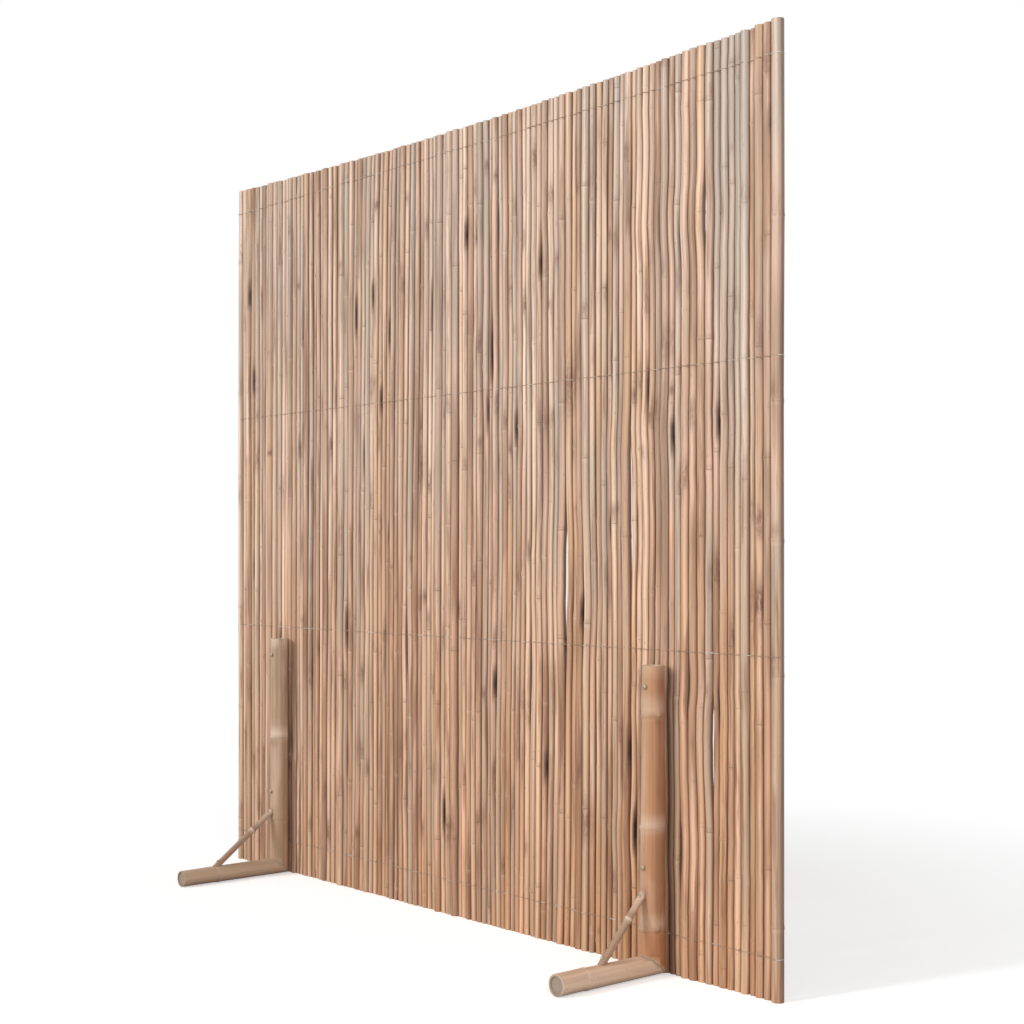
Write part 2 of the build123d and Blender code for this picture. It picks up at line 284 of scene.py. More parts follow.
class Shader:
    """Adds and links the nodes of one material."""

    def __init__(self, name):
        self.material = bpy.data.materials.new(name)
        self.material.use_nodes = True
        self.tree = self.material.node_tree
        self.principled = self.tree.nodes["Principled BSDF"]

    def node(self, kind, inputs=None, **settings):
        """A node with its settings, and with values or links for its inputs."""
        node = self.tree.nodes.new(kind)
        for name, value in settings.items():
            setattr(node, name, value)
        for name, value in (inputs or {}).items():
            self.feed(node.inputs[name], value)
        return node

    def feed(self, socket, value):
        """Link a socket, or set its value."""
        if isinstance(value, bpy.types.NodeSocket):
            self.tree.links.new(value, socket)
        else:
            socket.default_value = value

    def mask(self, name):
        """One of the masks that were drawn with the piece."""
        return self.node("ShaderNodeAttribute", attribute_name=name).outputs["Fac"]

    def grain(self, scale):
        """The culm's own coordinates, in metres times a scale across, across and along."""
        own = self.node("ShaderNodeAttribute", attribute_name="grain").outputs["Vector"]
        mapping = self.node("ShaderNodeMapping", {"Vector": own, "Scale": scale})
        return mapping.outputs["Vector"]

    def noise(self, coordinates, scale=1.0, detail=2.0, roughness=0.5):
        """A soft random value from 0 to 1."""
        inputs = {"Vector": coordinates, "Scale": scale, "Detail": detail, "Roughness": roughness}
        return self.node("ShaderNodeTexNoise", inputs).outputs["Fac"]

    def span(self, value, low, high, to_low=0.0, to_high=1.0):
        """A value mapped from one span to another and held within it."""
        inputs = {"Value": value, "From Min": low, "From Max": high, "To Min": to_low, "To Max": to_high}
        return self.node("ShaderNodeMapRange", inputs).outputs["Result"]

    def math(self, operation, first, second):
        """The result of one operation on two values."""
        node = self.node("ShaderNodeMath", operation=operation)
        self.feed(node.inputs[0], first)
        self.feed(node.inputs[1], second)
        return node.outputs["Value"]

    def mix(self, factor, first, second, blend="MIX"):
        """Two colours mixed by a factor."""
        node = self.node("ShaderNodeMix", data_type="RGBA", blend_type=blend)
        self.feed(node.inputs["Factor"], factor)
        self.feed(node.inputs[6], first if isinstance(first, bpy.types.NodeSocket) else (*first, 1.0))
        self.feed(node.inputs[7], second if isinstance(second, bpy.types.NodeSocket) else (*second, 1.0))
        return node.outputs[2]

    def ramp(self, factor, stops):
        """A colour read from a row of stops."""
        node = self.node("ShaderNodeValToRGB", {"Fac": factor})
        elements = node.color_ramp.elements
        while len(elements) < len(stops):
            elements.new(0.5)
        for element, (place, colour) in zip(elements, stops):
            element.position = place
            element.color = (*colour, 1.0)
        return node.outputs["Color"]

    def grey(self, value):
        """A grey of one value."""
        inputs = {"Red": value, "Green": value, "Blue": value}
        return self.node("ShaderNodeCombineColor", inputs).outputs["Color"]

    def bump(self, height, strength, distance):
        """A normal that is tilted by a height."""
        inputs = {"Height": height, "Strength": strength, "Distance": distance}
        return self.node("ShaderNodeBump", inputs).outputs["Normal"]


def bamboo(name, tones, fibre=(190.0, 190.0, 1.8), patch=(50.0, 50.0, 4.0), gloss=0.5, streaky=1.0):
    """Bamboo skin: tone by culm, patches, streaks, fibres, node marks, stains, painted shade and other
    darkening, and sawn ends.
    """
    shader = Shader(name)
    drift = shader.noise(shader.grain((9.0, 9.0, 2.4)), detail=1.0)
    wander = shader.span(drift, 0.3, 0.7, -0.16 * streaky, 0.16 * streaky)
    skin = shader.ramp(shader.math("ADD", shader.mask("variety"), wander), tones)
    patches = shader.noise(shader.grain(patch), detail=3.0)
    skin = shader.mix(shader.span(patches, 0.50, 0.64, 0.0, 0.6 * streaky), skin, PALE_PATCH)
    weathered = shader.noise(shader.grain((75.0, 75.0, 3.4)), detail=4.0, roughness=0.65)
    skin = shader.mix(shader.span(weathered, 0.52, 0.65, 0.0, 0.85 * streaky), skin, WEATHERED)
    greyed = shader.noise(shader.grain((70.0, 70.0, 2.0)), detail=2.0)
    skin = shader.mix(shader.span(greyed, 0.54, 0.70, 0.0, 0.45 * streaky), skin, DRIED)
    skin = shader.mix(shader.mask("grey"), skin, GREYED)
    fibres = shader.noise(shader.grain(fibre), detail=3.0, roughness=0.6)
    bands = shader.span(fibres, 0.35, 0.65, 1 - 0.32 * streaky, 1 + 0.19 * streaky)
    skin = shader.mix(1.0, skin, shader.grey(bands), "MULTIPLY")
    skin = shader.mix(shader.mask("warmth"), skin, shader.mix(1.0, skin, WARMED, "MULTIPLY"))
    specks = shader.noise(shader.grain((300.0, 300.0, 90.0)), detail=2.0)
    skin = shader.mix(shader.span(specks, 0.68, 0.76, 0.0, 0.6), skin, SPECK)
    skin = shader.mix(shader.mask("bloom"), skin, BLOOM)
    blotch = shader.noise(shader.grain((160.0, 160.0, 40.0)), detail=4.0, roughness=0.7)
    scorched = shader.math("MULTIPLY", shader.mask("scorch"), shader.span(blotch, 0.30, 0.52))
    skin = shader.mix(scorched, skin, SCORCH)
    skin = shader.mix(shader.mask("ring"), skin, NODE_RING)
    # Painted shade and other darkening, going near black where the shade is deepest, in the gaps between
    # canes
    skin = shader.mix(shader.mask("flank"), skin, SHADE_AND_DARKENING_BROWN)
    skin = shader.mix(shader.span(shader.mask("flank"), 0.82, 1.0, 0.0, 0.85), skin, DEEP_SHADE)
    pores = shader.noise(shader.grain((1500.0, 1500.0, 1500.0)), detail=2.0)
    sawn = shader.ramp(pores, ((0.35, SAWN_DARK), (0.6, SAWN_PALE)))
    shader.feed(shader.principled.inputs["Base Color"], shader.mix(shader.mask("cut"), skin, sawn))
    rough = shader.span(patches, 0.3, 0.7, gloss - 0.07, gloss + 0.10)
    shader.feed(shader.principled.inputs["Roughness"], rough)
    shader.feed(shader.principled.inputs["Normal"], shader.bump(fibres, 0.35, 0.0006))
    return shader.material


def metal(name, colour, rough, dulled=0.0):
    """Metal with a mottled skin, dulled in part to a tan that leaves short bright stretches."""
    shader = Shader(name)
    place = shader.node("ShaderNodeTexCoord").outputs["Object"]
    mottle = shader.noise(place, 420.0, 3.0)
    dark = tuple(part * 0.72 for part in colour)
    turns = shader.noise(place, 26.0, 1.0)
    weathered = shader.span(turns, 0.60, 0.57, 0.0, dulled)
    bright = shader.mix(mottle, dark, colour)
    shader.feed(shader.principled.inputs["Base Color"], shader.mix(weathered, bright, DULL_ZINC))
    shader.feed(shader.principled.inputs["Metallic"], shader.span(weathered, 0.0, 1.0, 0.85, 0.0))
    finish = shader.span(mottle, 0.3, 0.7, rough - 0.08, rough + 0.08)
    shader.feed(shader.principled.inputs["Roughness"], finish)
    shader.feed(shader.principled.inputs["Normal"], shader.bump(mottle, 0.2, 0.0002))
    return shader.material


def hill(distance, width):
    """One at the middle of a hill, falling to nothing a few widths away."""
    return math.exp(-((distance / width) ** 2))


def circle(middle, across, up, radius, sides):
    """Points of a circle."""
    turns = [2 * math.pi * side / sides for side in range(sides)]
    return [middle + (across * math.cos(turn) + up * math.sin(turn)) * radius for turn in turns]


def middle_x(node):
    """X of the middle of a node of the frame."""
    return sum(corner.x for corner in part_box(node)) / 2


def node_profile(distance, swell):
    """Extra radius near a node: the sheath's edge just below, a groove, and the ridge above."""
    edge = 0.9 * hill(distance + 1.4 * MM, 1.0 * MM)
    ridge = 0.8 * hill(distance - 1.6 * MM, 1.7 * MM)
    flare = 0.5 * hill(distance, 8 * MM)
    return swell * (edge + ridge + flare)


def node_masks(distance):
    """Dark line and pale band of a node."""
    ring = 0.75 * hill(distance - 0.1 * MM, 0.9 * MM) + 0.28 * hill(distance - 5 * MM, 4 * MM)
    bloom = 0.6 * hill(distance + 4.5 * MM, 3.2 * MM)
    return ring, bloom


def stations_along(length, nodes, step):
    """Where a culm gets its rings: close together at the nodes."""
    places = {0.0, length}
    for number in range(1, int(length / step)):
        places.add(number * step)
    for node in nodes:
        places = {place for place in places if abs(place - node) > 14 * MM or place in (0.0, length)}
        for offset in (-14, -8, -4.6, -2.6, -1.4, -0.5, 0.3, 1.4, 3.2, 6, 11):
            places.add(node + offset * MM)
    return sorted(place for place in places if 0 <= place <= length)


def draw_culm(draft, line, axes, length, nodes, radius, swell, sides, step, masks, bores, buds=()):
    """A round culm along a line, with nodes, buds and sawn ends that are open down to a wall."""
    across, up, ahead = axes
    shift = Vector(noise.random_vector()) * 3
    rings = []
    for place in stations_along(length, nodes, step):
        nearest = min(nodes, key=lambda node: abs(node - place), default=10.0)
        ring_mask, bloom_mask = node_masks(place - nearest)
        centre = line(place)
        ring = []
        for side in range(sides):
            angle = 2 * math.pi * side / sides
            normal = across * math.cos(angle) + up * math.sin(angle)
            reach = radius(place) + node_profile(place - nearest, swell)
            for bud, bud_angle in buds:
                turn = math.remainder(angle - bud_angle, 2 * math.pi) * reach
                reach += 2.0 * swell * hill(turn, 2.6 * MM) * hill(place - bud - 4 * MM, 4 * MM)
            grain = shift + Vector((math.cos(angle) * reach, math.sin(angle) * reach, place))
            values = masks(place, angle, nearest)
            values["ring"] = max(values.get("ring", 0.0), ring_mask * values.pop("ring_strength", 1.0))
            values["bloom"] = max(values.get("bloom", 0.0), bloom_mask * values.pop("bloom_strength", 1.0))
            ring.append(draft.point(centre + normal * reach, grain, **values))
        rings.append(ring)
    for low, high in zip(rings, rings[1:]):
        draft.band(low, high)
    for end, bore in zip((0, -1), bores):
        inward = ahead if end == 0 else -ahead
        close_end(draft, rings[end], line(0.0 if end == 0 else length), inward, *bore)


def close_end(draft, outline, centre, inward, bore, depth, dulling=0.0):
    """A sawn end: the wall's face, the bore and the floor of the hollow, with painted shade down into the
    hollow, clean or darkened and greyed.
    """
    rim = [draft.points[index] for index in outline]
    rings = []
    steps = ((1.0, 0.0, 1.0), (bore, 0.0, 1.0), (bore, 0.0, 0.9), (bore * 0.97, depth, 0.75))
    for share, sink, cut in steps:
        ring = []
        for place in rim:
            point = centre + (Vector(place) - centre) * share + inward * sink
            # Painted shade down the bore to the floor of the hollow; a dulled end is darkened and greyed
            shade_and_dulling = max(0.55 if sink else 0.0, 0.7 * dulling)
            ring.append(draft.point(point, point, cut=cut * (1 - dulling), flank=shade_and_dulling, grey=dulling))
        rings.append(ring)
    first = outline_order(draft, outline, inward, centre)
    for low, high in ((rings[0], rings[1]), (rings[2], rings[3])):
        draft.band(*((high, low) if first else (low, high)))
    floor = rings[3] if first else rings[3][::-1]
    draft.faces.append(tuple(floor))


def outline_order(draft, outline, inward, centre):
    """Whether a ring runs clockwise seen along the inward direction."""
    first = Vector(draft.points[outline[0]]) - centre
    second = Vector(draft.points[outline[1]]) - centre
    return first.cross(second).dot(inward) > 0


def islands(node):
    """The separate solids of a node, each as a list of points."""
    mesh = bmesh.new()
    mesh.from_mesh(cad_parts[node].data)
    bmesh.ops.remove_doubles(mesh, verts=mesh.verts, dist=MERGE)
    found, seen = [], set()
    for start in mesh.verts:
        if start.index in seen:
            continue
        seen.add(start.index)
        group, queue = [], [start]
        while queue:
            vertex = queue.pop()
            group.append(vertex.co.copy())
            for edge in vertex.link_edges:
                other = edge.other_vert(vertex)
                if other.index not in seen:
                    seen.add(other.index)
                    queue.append(other)
        found.append(group)
    mesh.free()
    return found


def level_rings(points, axis, least):
    """Rings of a pole that stand square to an axis: place, middle and outer radius of each."""
    levels = {}
    for point in points:
        levels.setdefault(round(point[axis], 4), []).append(point)
    rings = []
    for place, ring in sorted(levels.items()):
        if len(ring) >= least:
            middle = sum(ring, Vector()) / len(ring)
            reaches = [(point - middle).length for point in ring]
            outer = [reach for reach in reaches if reach > 0.85 * max(reaches)]
            rings.append((place, middle, sum(outer) / len(outer)))
    return rings


def swollen(rings):
    """Places of the rings that are wider than both their neighbours."""
    trios = zip(rings, rings[1:], rings[2:])
    return [here[0] for last, here, after in trios if last[2] < here[2] > after[2]]


def nodes_named(start):
    """Names of the frame's nodes that start with a word, in order."""
    return sorted(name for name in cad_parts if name.startswith(start))


def read_canes(share):
    """Every cane of the panel from left to right: its node, and its line and radius by height."""
    canes = []
    for node in nodes_named("canes_"):
        for points in islands(node):
            rings = level_rings(points, 2, 8)
            canes.append(
                {
                    "node": node,
                    "heights": [ring[0] for ring in rings],
                    "x": [ring[1].x for ring in rings],
                    "y": [ring[1].y for ring in rings],
                    "radius": [share * ring[2] for ring in rings],
                }
            )
    return sorted(canes, key=lambda cane: cane["x"][0])


def grow_canes(settings):
    """Give each cane its nodes and its bows, then push neighbours apart where they would meet."""
    canes = read_canes(settings.share)
    levels = np.arange(0.0, LEVEL_TOP, LEVEL_STEP)
    lines, radii = [], []
    for number, cane in enumerate(canes):
        rng = Random(settings.seed * 1000 + number)
        top = cane["heights"][-1]
        nodes = [rng.uniform(0.04, 0.9) * settings.node_spacing]
        while nodes[-1] < top:
            nodes.append(nodes[-1] + settings.node_spacing * rng.uniform(0.6, 1.35))
        cane["nodes"] = [node for node in nodes if 0.012 < node < top - 0.012]
        stops = [0.0] + cane["nodes"] + [top]
        edge = number in (0, len(canes) - 1)
        bow = (0.25 if edge else 1.0) * settings.bow
        aside = [rng.uniform(-1, 1) * bow for _ in stops]
        cane["depth_bow"] = (stops, [rng.uniform(-0.6, 0.6) * settings.bow for _ in stops])
        sag = rng.uniform(-0.6, 0.6) * bow
        line = np.interp(levels, cane["heights"], cane["x"]) + np.interp(levels, stops, aside)
        line = line + sag * np.sin(levels * 2 * math.pi / (3.1 * settings.node_spacing) + number)
        stout = 1.0 if edge else rng.choice((0.80, 0.88, 0.94, 1.0, 1.04, 1.08)) + rng.uniform(-0.03, 0.03)
        tapered = [stout * (1 + rng.uniform(-0.025, 0.025)) for _ in stops]
        cane["stout"] = np.interp(levels, stops, tapered)
        radius = np.interp(levels, cane["heights"], cane["radius"]) * cane["stout"]
        swell = sum(np.exp(-(((levels - node) / 0.012) ** 2)) for node in cane["nodes"])
        lines.append(line)
        radii.append(radius + settings.node_swell * 1.2 * swell)
    lines, radii = np.array(lines), np.array(radii)
    needs = np.full((len(canes) - 1, len(levels)), LEAST_GAP)
    left = cad_box[0][0]
    for across, height, length, width in SHADED_GAPS + OPEN_SLITS:
        level = int(height * MM / LEVEL_STEP)
        pair = int(np.argmin(np.abs((lines[:-1, level] + lines[1:, level]) / 2 - left - across * MM)))
        shape = np.clip(1 - np.abs(levels - height * MM) / (length * MM / 2 + 0.05), 0, 1)
        opened = np.minimum(1, np.sin(shape * math.pi / 2) ** 1.5 * 1.25)
        needs[pair] = np.maximum(needs[pair], width * MM * opened)
    for step in range(SETTLE_STEPS):
        overlap = radii[:-1] + radii[1:] + needs - (lines[1:] - lines[:-1])
        push = np.clip(overlap, 0, None) / 2
        pull = np.clip(-overlap - LOOSE_GAP, 0, None) * 0.2
        lines[1:-1] += (push - pull)[:-1] * 0.9
        lines[1:-1] -= (push - pull)[1:] * 0.9
        if step % 6 == 0 and step < SMOOTH_STEPS:
            lines[:, 1:-1] = (lines[:, :-2] + 2 * lines[:, 1:-1] + lines[:, 2:]) / 4
    for cane, line in zip(canes, lines):
        cane["levels"] = levels
        cane["line"] = line
    return canes


def cane_radius(cane, place):
    """Radius of a cane at a height."""
    framed = np.interp(place, cane["heights"], cane["radius"])
    return float(framed * np.interp(place, cane["levels"], cane["stout"]))


def cane_masks(number, cane, rng):
    """How one cane's skin varies along it and round it."""
    left = cad_box[0][0]
    width = cad_box[1][0] - left
    home = cane["x"][-1] - left
    variety = rng.random()
    in_stretch = GREY_STRETCH[0] < width - home < GREY_STRETCH[1]
    greyed = 0.75 if in_stretch else rng.choice((0.0, 0.0, 0.0, 0.35))
    stains = []
    for _ in range(rng.choice((1, 1, 2, 3, 4))):
        middle = rng.choice(cane["nodes"]) + 0.02 if rng.random() < 0.5 else rng.uniform(0.1, 1.6)
        stains.append((middle, rng.uniform(0.006, 0.035), rng.uniform(-2.2, -0.4), rng.uniform(0.45, 1.0)))
    # Lenses of painted shade on one side of a cane, where no gap is opened
    shade_lenses = []
    for _ in range(rng.choice((0, 0, 0, 1, 1, 2))):
        middle = rng.uniform(0.25, 1.6)
        length = rng.uniform(0.02, 0.07)
        shade_lenses.append((middle, length, rng.choice((-1, 1)), rng.uniform(0.5, 1.0)))
    ring_strength = rng.choice((0.2, 0.35, 0.5, 0.8))
    bloom_strength = rng.choice((0.0, 0.1, 0.2, 0.4))
    pale_top = 0.2 if width - home < 0.02 else 0.0
    posts = [middle_x(f"front_post_{hand}") - left for hand in HANDS]
    post_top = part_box("front_post_left")[1].z

    def masks(place, angle, nearest):
        across = np.interp(place, cane["levels"], cane["line"]) - left
        low = max(0.0, 1 - place / 1.25)
        drift = 0.22 * noise.noise((across * 4, place * 2.5, 1.0))
        warmth = 0.08 + low * (0.62 + 0.30 * across / width) + drift
        scorch = 0.0
        for middle, length, turn, amount in stains:
            side = hill(math.remainder(angle - turn, 2 * math.pi), 0.9)
            scorch = max(scorch, amount * side * hill(place - middle, length))
        for mark_x, mark_z, length, mark_width in SCORCHES:
            near = hill(across - mark_x * MM, mark_width * MM / 2)
            scorch = max(scorch, near * hill(place - mark_z * MM, length * MM / 2))
        east = math.cos(angle)
        # Painted shade on the canes' sides that face the gaps and the shade lenses, near black at its
        # deepest
        dark = 0.0
        for mark_x, mark_z, length, mark_width in SHADED_GAPS:
            offset = mark_x * MM - across
            lens = 1 - ((place - mark_z * MM) / (0.62 * length * MM)) ** 2
            if lens > 0 and abs(offset) < 16 * MM:
                facing = min(1.0, max(0.0, 1.9 * east * math.copysign(1, offset) - 0.15))
                dark = max(dark, facing * lens**0.35 * hill(max(0.0, abs(offset) - 11 * MM), 3 * MM))
        for middle, length, side, amount in shade_lenses:
            lens = max(0.0, 1 - ((place - middle) / length) ** 2)
            dark = max(dark, amount * math.sqrt(lens) * min(1.0, max(0.0, 1.9 * east * side - 0.3)))
        # Painted shadow of the front posts on the canes just to their right, stronger by the right post
        post_shadow = 0.0
        if place < post_top:
            beside = min((across - post for post in posts), key=abs)
            post_shadow = max(hill(beside - 16 * MM, 9 * MM), 0.35 * hill(beside - 34 * MM, 12 * MM))
            post_shadow *= 0.75 if across > width / 2 else 0.45
        return {
            "variety": variety,
            "warmth": min(1.0, max(0.0, warmth)),
            "scorch": scorch,
            # Painted shade on the canes' sides in the grooves between them; the fronts also get darker
            # towards the bottom
            "flank": max(0.8 * abs(east) ** 4, post_shadow, dark, 0.14 * max(0.0, 1 - place / 0.9)),
            "bloom": pale_top * max(0.0, place / 1.7 - 0.3),
            "grey": greyed * min(1.0, max(0.0, place / 0.8 - 0.9)),
            "ring_strength": ring_strength,
            "bloom_strength": bloom_strength,
        }

    return masks


class SCREEN_OT_canes(bpy.types.Operator):
    """Draw the round canes of the panel in place of the framed ones"""

    bl_idname = "bamboo_screen.canes"
    bl_label = "Canes"

    def execute(self, context):
        settings = context.scene.screen_canes
        straw, rosy = tuple(settings.straw), tuple(settings.rosy)
        tones = (
            (0.00, (0.80, 0.60, 0.46)),
            (0.16, straw),
            (0.30, (0.50, 0.42, 0.34)),
            (0.44, (0.68, 0.45, 0.33)),
            (0.58, (0.38, 0.23, 0.14)),
            (0.72, rosy),
            (0.86, (0.64, 0.42, 0.26)),
            (1.00, (0.78, 0.56, 0.42)),
        )
        material = bamboo("cane skin", tones)
        drafts = {}
        for number, cane in enumerate(grow_canes(settings)):
            rng = Random(settings.seed * 77 + number)
            noise.seed_set(number + 1)
            draft = drafts.setdefault(cane["node"], Draft())
            top = cane["heights"][-1]
            mean = sum(cane["radius"]) / len(cane["radius"])

            def line(place, cane=cane):
                depth = np.interp(place, cane["heights"], cane["y"]) + np.interp(place, *cane["depth_bow"])
                return Vector((np.interp(place, cane["levels"], cane["line"]), depth, place))

            def radius(place, cane=cane):
                return cane_radius(cane, place)

            bore = 1 - settings.wall / mean
            bores = ((bore, 0.010), (bore, rng.uniform(0.006, 0.03)))
            buds = [(node, rng.uniform(0, 2 * math.pi)) for node in cane["nodes"] if rng.random() < 0.45]
            draw_culm(
                draft,
                line,
                UPRIGHT,
                top,
                cane["nodes"],
                radius,
                settings.node_swell,
                settings.sides,
                settings.ring_step,
                cane_masks(number, cane, rng),
                bores,
                buds,
            )
        for node, draft in drafts.items():
            place_piece(draft.build("round_" + node, material), node)
        return {"FINISHED"}


def stand_nodes(part):
    """Face, hand and node of the four pieces of one kind."""
    for face in FACES:
        for hand in HANDS:
            yield face, hand, f"{face}_{part}_{hand}"


def read_pole(node, axis):
    """A pole of a stand: its rings, the places of its nodes, and its box."""
    rings = level_rings(islands(node)[0], axis, 20)
    low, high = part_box(node)
    return {"rings": rings, "nodes": swollen(rings), "low": low, "high": high}


def post_shape(face, hand):
    """Line and radius of a post by height, and the places of its nodes."""
    pole = read_pole(f"{face}_post_{hand}", 2)
    plain = [ring for ring in pole["rings"] if ring[0] not in pole["nodes"]]
    first, last = plain[0], plain[-1]
    slope = (last[2] - first[2]) / (last[0] - first[0])
    inner = min(abs(pole["low"].y), abs(pole["high"].y))
    places = [ring[0] for ring in pole["rings"]]

    def framed(height):
        """Radius before it is drawn in."""
        return first[2] + slope * (height - first[0])

    def radius(height):
        return framed(height) * np.interp(height, (0.0, last[0]), POST_SHARES[hand])

    def line(height):
        x = np.interp(height, places, [ring[1].x for ring in pole["rings"]])
        return Vector((x, FACES[face] * (inner + radius(height)), height))

    return {**pole, "inner": inner, "framed": framed, "radius": radius, "line": line}


def foot_shape(face, hand):
    """Line and radius of a foot by its distance from the panel's middle plane."""
    pole = read_pole(f"{face}_foot_{hand}", 1)
    rings = sorted((abs(place), middle, radius) for place, middle, radius in pole["rings"])
    places = [ring[0] for ring in rings]
    framed = rings[0][2]
    lift = rings[0][1].z - framed
    ends = sorted((abs(pole["low"].y), abs(pole["high"].y)))

    def radius(reach):
        return framed * float(np.interp(reach, ends, FOOT_SHARES[hand]))

    def line(reach):
        x = np.interp(reach, places, [ring[1].x for ring in rings])
        return Vector((x, FACES[face] * reach, radius(reach) + lift))

    tops = {"top": lift + 2 * radius(ends[0]), "framed_top": lift + 2 * framed}
    return {**pole, **tops, "line": line, "radius": radius, "ends": ends, "nodes": swollen(rings)}


def brace_ends(settings, face, hand, framed=False):
    """Where a brace's axis meets the foot and the post, as drawn or as framed."""
    post, foot = post_shape(face, hand), foot_shape(face, hand)
    reach = settings.left_reach if hand == "left" else settings.right_reach
    x = middle_x(f"{face}_brace_{hand}")
    foot_top = foot["framed_top"] if framed else foot["line"](reach).z + foot["radius"](reach)
    height = settings.brace_height - (0.0 if framed else settings.brace_drop)
    thick = 2 * post["framed" if framed else "radius"](height)
    low = Vector((x, FACES[face] * reach, foot_top))
    return low, Vector((x, FACES[face] * (post["inner"] + thick), height))


def round_cutter(name, low, high, radius, sides=64):
    """A round bar from one point to another, to carve with."""
    draft = Draft()
    ahead = (high - low).normalized()
    across = ahead.orthogonal().normalized()
    up = ahead.cross(across)
    rims = [circle(end, across, up, radius, sides) for end in (low, high)]
    draft.bar([[draft.point(place, place, cut=1.0) for place in rim] for rim in rims])
    return draft.build(name, None)


def block_cutter(name, x, outline):
    """A block to carve with: an outline in Y and Z, run along X across a pole."""
    corners = zip(outline, outline[1:] + outline[:1])
    area = sum(y * after_z - after_y * z for (y, z), (after_y, after_z) in corners)
    outline = outline if area > 0 else outline[::-1]
    draft = Draft()
    half = 50 * MM
    rings = []
    for place in (x - half, x + half):
        rings.append([draft.point((place, y, z), (place, y, z), cut=1.0) for y, z in outline])
    draft.bar(rings)
    return draft.build(name, None)


def mitre_cutter(face, hand, above):
    """All that lies above or below the slanted cut where a post stands on its foot."""
    side = FACES[face]
    post, foot = post_shape(face, hand), foot_shape(face, hand)
    toe = Vector((side * post["inner"], 0.0))
    heel = Vector((side * (post["inner"] + 2 * post["radius"](foot["top"])), foot["top"]))
    slant = (heel - toe).normalized()
    upward = Vector((-side * slant.y, side * slant.x))
    outward = upward if above else -upward
    near = outward * 0.15 * MM
    far = outward * 100 * MM
    run = slant * 40 * MM
    outline = [toe - run + near, heel + run + near, heel + run + far, toe - run + far]
    return block_cutter("mitre", foot["line"](foot["ends"][0]).x, [tuple(corner) for corner in outline])


def carve(piece, cutters):
    """Cut pieces out of a piece, and drop the cutters."""
    for cutter in cutters:
        modifier = piece.modifiers.new("carve", "BOOLEAN")
        modifier.object = cutter
        modifier.solver = "EXACT"
    graph = bpy.context.evaluated_depsgraph_get()
    mesh = bpy.data.meshes.new_from_object(piece.evaluated_get(graph))
    piece.modifiers.clear()
    piece.data = mesh
    mesh.set_sharp_from_angle(angle=math.radians(40))
    for cutter in cutters:
        bpy.data.objects.remove(cutter)


def place_piece(piece, node):
    """Hand a piece to the frame in place of a node."""
    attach(piece, BODY)
    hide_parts(node)


# Marks on the posts: the tone, the height of the ring under which the skin is warmer and how warm, pale
# bands (height, half length, amount), stains (height, turn, length, width, amount) and buds (height, turn)
POST_MARKS = {
    "front_post_right": {
        "tone": "brown",
        "foot": 85,
        "low": 1.0,
        "blooms": ((278, 14, 0.35), (494, 12, 0.3), (100, 12, 0.2), (567, 3, 0.6)),
        "scars": (
            (468, -0.35, 12, 9, 0.9), (340, -0.3, 16, 9, 0.35), (85, -0.35, 10, 9, 0.8),
            (150, -1.3, 30, 10, 0.5),
        ),
        "buds": ((477, -0.25), (85, -0.3)),
    },
    "front_post_left": {
        "tone": "pale",
        "foot": 133,
        "low": 0.3,
        "blooms": ((564, 9, 0.75), (342, 14, 0.6)),
        "scars": ((318, -1.6, 22, 30, 0.35), (150, -1.2, 12, 8, 0.8), (571, -0.4, 7, 9, 0.9)),
        "buds": ((133, -1.2),),
    },
    "rear_post_left": {
        "tone": "pale",
        "foot": 190,
        "low": 0.3,
        "blooms": (),
        "scars": ((395, 1.2, 20, 14, 0.5),),
        "buds": ((405, 1.4),),
    },
    "rear_post_right": {
        "tone": "pale",
        "foot": 150,
        "low": 0.4,
        "blooms": (),
        "scars": ((160, 2.0, 18, 12, 0.5),),
        "buds": ((150, 1.9),),
    },
}


def post_masks(marks, lift):
    """How a post's skin varies along it and round it."""

    def masks(place, angle, nearest):
        height = place + lift
        blooms = [amount * hill(height - z * MM, half * MM) for z, half, amount in marks["blooms"]]
        scorch = 0.0
        for z, turn, length, width, amount in marks["scars"]:
            around = math.remainder(angle - turn, 2 * math.pi) * 23 * MM
            along = hill(height - z * MM, length * MM / 2)
            scorch = max(scorch, amount * along * hill(around, width * MM / 2))
        east = math.cos(angle)
        # On the right front post the tone runs from pale greenish tan to dark orange brown on the right: own
        # colour and painted shade
        variety = 0.5 + 0.5 * east if marks["tone"] == "brown" else 0.3 + 0.2 * east
        return {
            "variety": variety,
            "warmth": marks["low"] if height < marks["foot"] * MM else 0.1,
            "bloom": max(blooms, default=0.0),
            "scorch": scorch,
            "ring_strength": 0.25,
            "bloom_strength": 0.12,
        }

    return masks


class SCREEN_OT_posts(bpy.types.Operator):
    """Draw the four posts with their nodes, slanted cuts, notches and bores"""

    bl_idname = "bamboo_screen.posts"
    bl_label = "Posts"

    def execute(self, context):
        settings = context.scene.screen_stands
        skins = {"pale": pole_skin(), "brown": brown_skin()}
        for face, hand, node in stand_nodes("post"):
            marks = POST_MARKS[node]
            shape = post_shape(face, hand)
            lift, top = shape["low"].z, shape["high"].z
            draft = Draft()
            noise.seed_set(900 + len(node) + int(shape["low"].x * 1000) % 97)
            draw_culm(
                draft,
                lambda place: shape["line"](place + lift),
                UPRIGHT,
                top - lift,
                [place - lift for place in shape["nodes"]],
                lambda place: shape["radius"](place + lift),
                STAND_SWELLS["post"],
                settings.sides,
                POLE_STEP,
                post_masks(marks, lift),
                ((0.5, 0.001), (settings.post_bore / 2 / shape["radius"](top), 0.03)),
                [(place * MM - lift, turn) for place, turn in marks["buds"]],
            )
            piece = draft.build("round_" + node, skins[marks["tone"]])
            carve(piece, post_cutters(face, hand))
            place_piece(piece, node)
        return {"FINISHED"}


